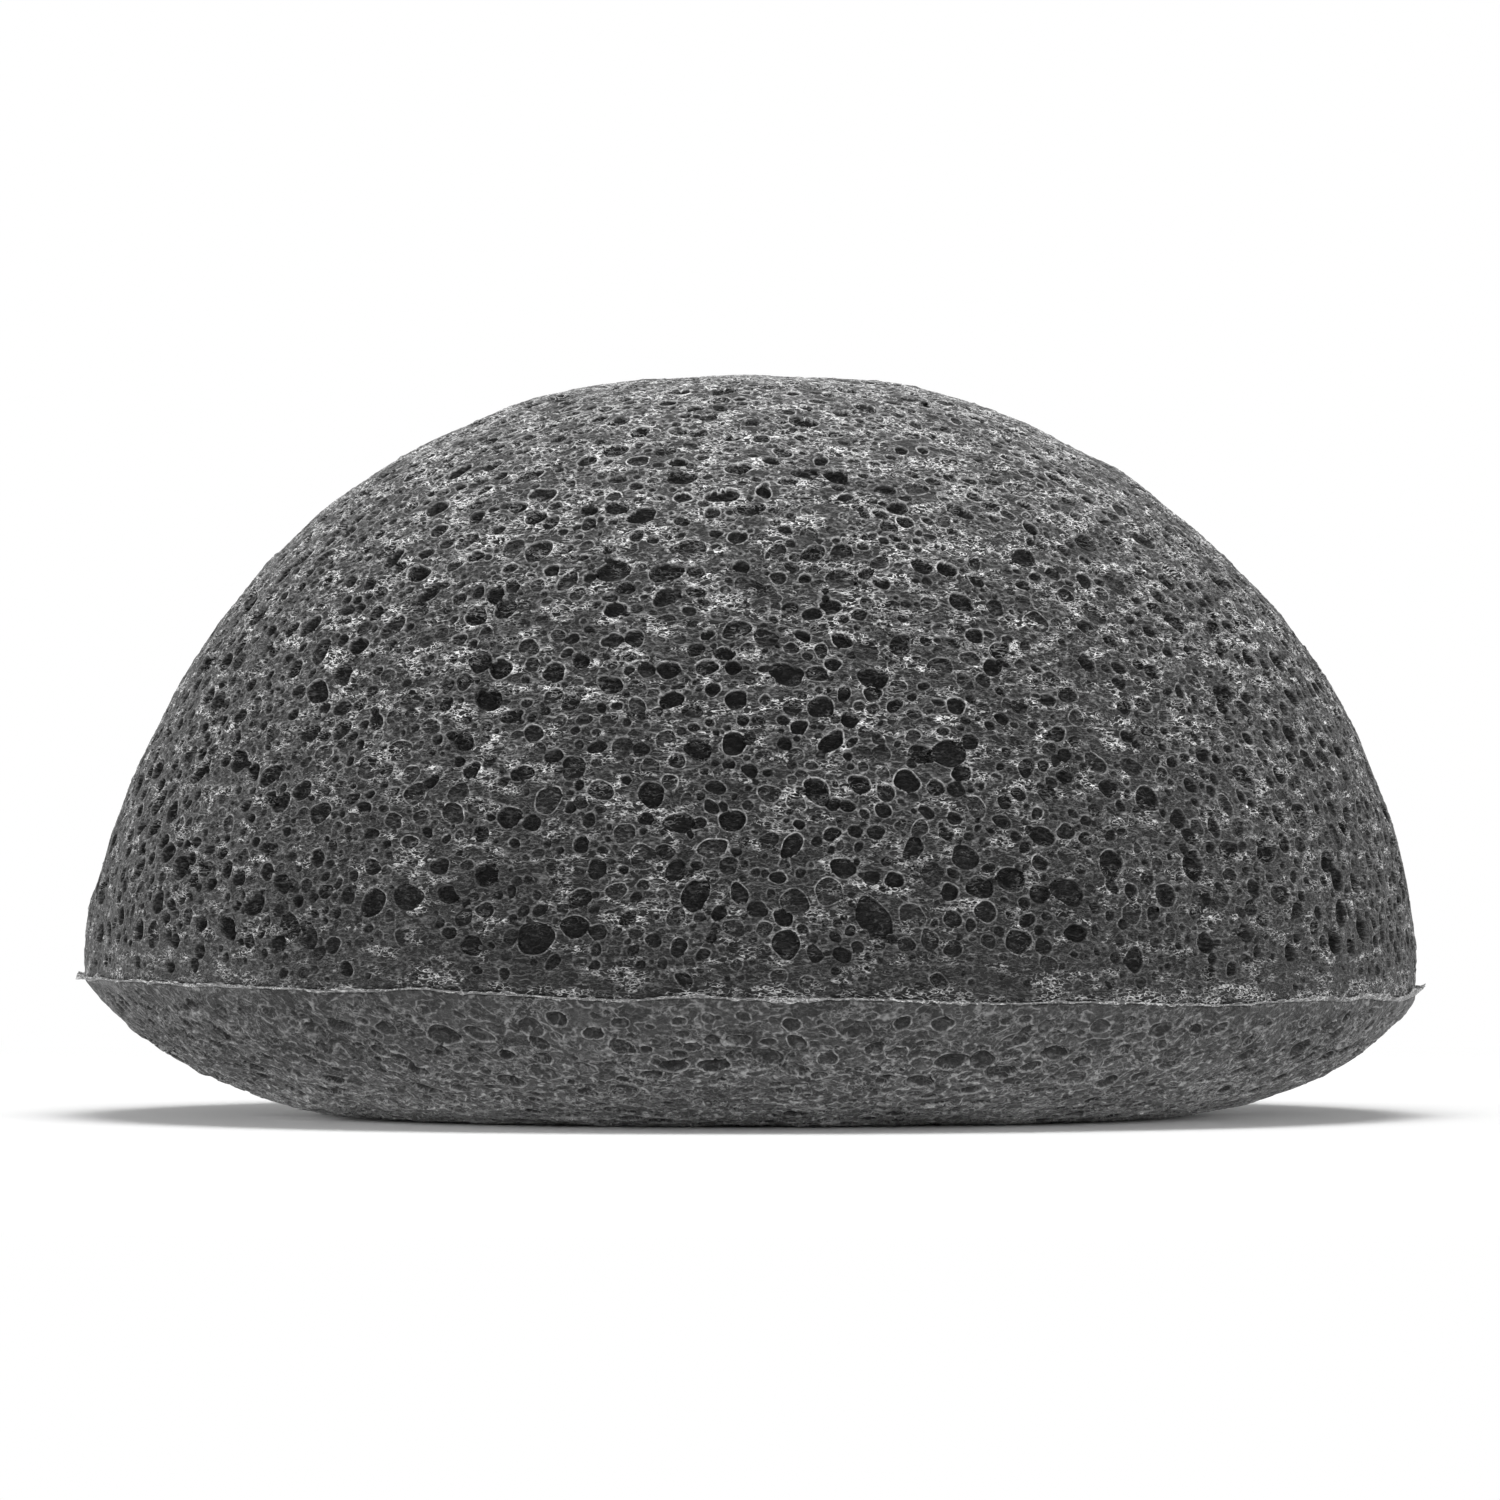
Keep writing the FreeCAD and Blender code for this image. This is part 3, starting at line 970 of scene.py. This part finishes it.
# Greys: dark and pale body, painted shade in the pores, painted highlight on the lips
DOME_GREYS = {"dark": 0.017, "pale": 0.03, "pore_shade": 0.013, "lip_and_highlight": 0.9}
BASE_GREYS = {"dark": 0.042, "pale": 0.085, "pore_shade": 0.018, "lip_and_highlight": 0.42}
# The film's paler greys are painted light: light through the thin film and along its edge
FLASH_GREYS = {"dark": 0.12, "pale": 0.22, "pore_shade": 0.06, "lip_and_highlight": 0.3}
CORE_GREYS = {"dark": 0.045, "pale": 0.065, "pore_shade": 0.012, "lip_and_highlight": 0.15}
DOME_SHARES, BASE_SHARES = (0.06, 1.0, 0.1), (0.15, 0.6, 0.6)
FLASH_SHARES, CORE_SHARES = (0.5, 0.9, 0.0), (0.1, 0.4, 0.0)
DOME_STREAK = (0.8, 0.8, 1.9)
BASE_STREAK = (0.75, 0.75, 0.9)
DOME_HEIGHTS, BASE_HEIGHTS = (RIM_Z, DOME_HIGH.z), (0.0, PAD_DEPTH)
# Painted light by height on the dome: lighter at the crown and just above the seam, darker on the flanks
DOME_PAINTED_LIGHT = [(0.0, 1.0), (0.2, 0.8), (0.6, 0.78), (1.0, 2.0)]
# Painted glints on the dome: brighter up the dome, fewer low on it and more just above the seam
DOME_GLINTS = [(0.0, 0.6), (0.2, 0.72), (0.5, 0.97), (1.0, 0.97)]
DOME_COVERS = [(0.0, 0.04), (0.012, -0.02), (0.03, -0.1), (0.2, -0.09), (0.5, -0.07), (1.0, 0.015)]
BASE_COVERS = [(0.0, 0.05), (0.3, 0.0), (1.0, -0.02)]
# Painted light on the underside: much lighter towards its foot, as if lit from the floor
BASE_PAINTED_LIGHT = [(0.0, 3.8), (0.15, 3.6), (0.4, 2.0), (0.6, 1.2), (1.0, 0.8)]
# Painted glints on the underside, brighter towards its foot
BASE_GLINTS = [(0.0, 0.95), (0.15, 0.9), (0.4, 0.55), (0.6, 0.3), (1.0, 0.2)]
FLASH_GLINTS = [(0.0, 0.65), (1.0, 0.65)]
CORE_GLINTS = [(0.0, 0.2), (1.0, 0.2)]
EVEN_PAINTED_LIGHT = [(0.0, 1.0), (1.0, 1.0)]
EVEN_COVERS = [(0.0, 0.0), (1.0, 0.0)]

DOME_LOOK = (DOME_GREYS, DOME_SHARES, DOME_HEIGHTS, DOME_PAINTED_LIGHT, DOME_GLINTS, DOME_COVERS, DOME_STREAK)
BASE_LOOK = (BASE_GREYS, BASE_SHARES, BASE_HEIGHTS, BASE_PAINTED_LIGHT, BASE_GLINTS, BASE_COVERS, BASE_STREAK)
FLASH_LOOK = (FLASH_GREYS, FLASH_SHARES, DOME_HEIGHTS, EVEN_PAINTED_LIGHT, FLASH_GLINTS, EVEN_COVERS, DOME_STREAK)
CORE_LOOK = (CORE_GREYS, CORE_SHARES, DOME_HEIGHTS, EVEN_PAINTED_LIGHT, CORE_GLINTS, EVEN_COVERS, DOME_STREAK)

DOME_BUMP, BASE_BUMP, FLASH_BUMP, CORE_BUMP = 0.8, 0.8, 0.6, 0.5
DOME_ROUGHNESS, BASE_ROUGHNESS, FLASH_ROUGHNESS, CORE_ROUGHNESS = 0.5, 0.55, 0.4, 0.6
DOME_FOAM = foam_material("dome_foam", *DOME_LOOK, DOME_BUMP, DOME_ROUGHNESS)
BASE_FOAM = foam_material("base_foam", *BASE_LOOK, BASE_BUMP, BASE_ROUGHNESS)
FLASH_FILM = foam_material("flash_film", *FLASH_LOOK, FLASH_BUMP, FLASH_ROUGHNESS)
CORE_FOAM = foam_material("core_foam", *CORE_LOOK, CORE_BUMP, CORE_ROUGHNESS)

dress(dome, DOME_FOAM, "dome", "dome_skin")
dress(pad, BASE_FOAM, "base", "base_pad")
dress(flash, FLASH_FILM, "dome", "rim_flash")
dress(core, CORE_FOAM, "dome", "foam_core")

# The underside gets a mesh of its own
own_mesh(pad)

# Stage, light and camera, in metres and watts
FLOOR_RADIUS = 3.0
FLOOR_DROP = 0.05 * MM
FLOOR_SIDES = 96
FLOOR_GREY = 0.94
FADE_FROM, FADE_TO = 0.06, 0.2


def white_to_eye(nodes):
    """1 for rays from the camera and for mirrored or clear sight of the background."""
    path = nodes.add("ShaderNodeLightPath")
    seen = nodes.maths("MAXIMUM", path.outputs["Is Camera Ray"], path.outputs["Is Glossy Ray"])
    return nodes.maths("MAXIMUM", seen, path.outputs["Is Transmission Ray"])


def make_floor():
    shape = bmesh.new()
    low = Matrix.Translation((0, 0, -FLOOR_DROP))
    bmesh.ops.create_circle(shape, cap_ends=True, segments=FLOOR_SIDES, radius=FLOOR_RADIUS, matrix=low)
    mesh = bpy.data.meshes.new("floor")
    shape.to_mesh(mesh)
    shape.free()
    material, nodes = new_material("pale_floor")
    distance = nodes.add("ShaderNodeVectorMath", {"operation": "LENGTH"})
    nodes.feed(distance.inputs[0], nodes.add("ShaderNodeTexCoord").outputs["Object"])
    far = nodes.spread(distance.outputs["Value"], FADE_FROM, FADE_TO)
    matt = nodes.add("ShaderNodeBsdfDiffuse", Color=grey(FLOOR_GREY))
    white = nodes.add("ShaderNodeEmission", Color=grey(1.0), Strength=1.0)
    mix = nodes.add("ShaderNodeMixShader")
    nodes.feed(mix.inputs[0], nodes.times(far, white_to_eye(nodes)))
    nodes.feed(mix.inputs[1], matt.outputs["BSDF"])
    nodes.feed(mix.inputs[2], white.outputs["Emission"])
    nodes.end("ShaderNodeOutputMaterial", mix.outputs["Shader"])
    mesh.materials.append(material)
    floor = linked("floor", mesh)


WORLD_LEVEL = 0.36


def make_world():
    world = bpy.data.worlds.new("studio")
    bpy.context.scene.world = world
    world.use_nodes = True
    nodes = Nodes(world.node_tree)
    level = nodes.spread(white_to_eye(nodes), 0.0, 1.0, WORLD_LEVEL, 1.0)
    background = nodes.add("ShaderNodeBackground", Color=grey(1.0), Strength=level)
    nodes.end("ShaderNodeOutputWorld", background.outputs["Background"])


AIM = Vector((0, 0, 21.95 * MM))
# Lamps, as (place, width, power)
LAMPS = {
    "top_lamp": ((0.02, -0.08, 0.55), 0.4, 2.2),
    "front_lamp": ((0.04, -0.55, 0.04), 0.3, 1.3),
    "left_lamp": ((-0.55, 0.16, 0.08), 0.25, 2.6),
    "right_lamp": ((0.55, 0.1, 0.08), 0.25, 1.6),
}


def soft_lamp(name, place, size, watts):
    light = bpy.data.lights.new(name, "AREA")
    light.shape = "DISK"
    light.size = size
    light.energy = watts
    lamp = linked(name, light)
    lamp.location = place
    lamp.rotation_euler = (AIM - Vector(place)).to_track_quat("-Z", "Y").to_euler()


CAMERA_DISTANCE = 0.8
CAMERA_CLIP = 0.01
FRAME_WIDTH = 90.3 * MM
SENSOR_WIDTH = 36.0


def make_camera():
    view = bpy.data.cameras.new("camera")
    view.sensor_width = SENSOR_WIDTH
    view.lens = SENSOR_WIDTH * CAMERA_DISTANCE / FRAME_WIDTH
    view.clip_start = CAMERA_CLIP
    camera = linked("camera", view)
    camera.location = AIM - Vector((0, CAMERA_DISTANCE, 0))
    camera.rotation_euler = (QUARTER_TURN, 0, 0)
    bpy.context.scene.camera = camera


make_floor()
make_world()
for name, (place, size, watts) in LAMPS.items():
    soft_lamp(name, place, size, watts)
make_camera()
bpy.context.scene.view_settings.view_transform = "Standard"
